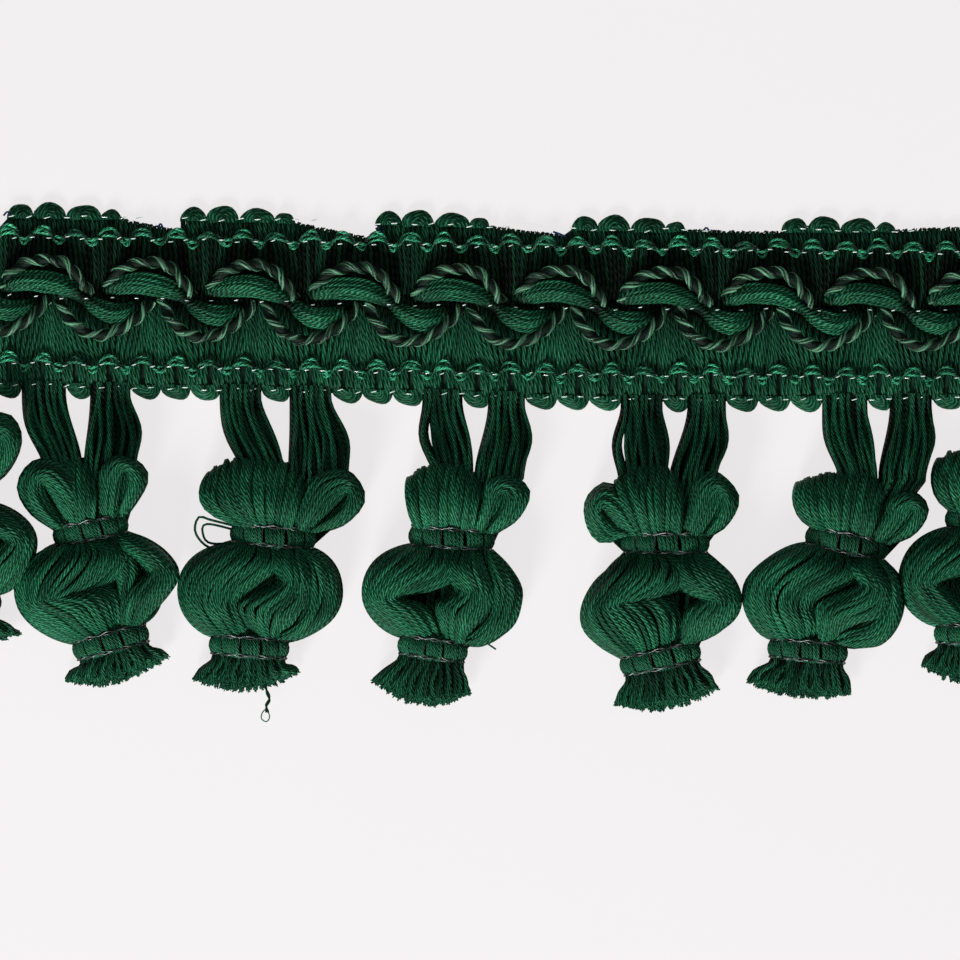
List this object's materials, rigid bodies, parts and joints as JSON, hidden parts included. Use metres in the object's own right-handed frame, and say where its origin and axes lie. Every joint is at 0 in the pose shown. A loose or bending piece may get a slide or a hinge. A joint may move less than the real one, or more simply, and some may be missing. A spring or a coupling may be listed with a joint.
{
  "type": "onion tassel fringe trim",
  "caption": "Flat woven trim with a scroll of twisted rope along its heading and a row of tied onion tassels hanging from its lower edge.",
  "frame": {"origin": "middle of the trim's overall box, on the surface it lies on", "axes": "+X along the heading, +Y across it from the tassels towards its upper edge, +Z out of its face"},
  "size_m": [0.2069, 0.0782, 0.0115],
  "materials": {
    "weft_yarn": "matt plied yarn, dark bottle green",
    "chain_thread": "lustrous twisted thread, bright bottle green",
    "bundle_yarn": "matt plied yarn, bottle green",
    "rope_strand": "lustrous two-ply rope, sage green",
    "tassel_yarn": "matt plied yarn, bottle green",
    "tie_thread": "fine dark thread over bottle green yarn"
  },
  "bodies": {
    "root": {"heading": "weft_yarn", "chain_upper": "chain_thread", "chain_lower": "chain_thread", "scroll_bundle": "bundle_yarn", "rope_upper": "rope_strand", "rope_lower": "rope_strand", "tassel_0": "tassel_yarn", "tie_upper_0": "tie_thread", "tie_lower_0": "tie_thread", "tassel_1": "tassel_yarn", "tie_upper_1": "tie_thread", "tie_lower_1": "tie_thread", "tassel_2": "tassel_yarn", "tie_upper_2": "tie_thread", "tie_lower_2": "tie_thread", "tassel_3": "tassel_yarn", "tie_upper_3": "tie_thread", "tie_lower_3": "tie_thread", "tassel_4": "tassel_yarn", "tie_upper_4": "tie_thread", "tie_lower_4": "tie_thread", "tassel_5": "tassel_yarn", "tie_upper_5": "tie_thread", "tie_lower_5": "tie_thread", "tassel_6": "tassel_yarn", "tie_upper_6": "tie_thread", "tie_lower_6": "tie_thread"}
  },
  "joints": []
}
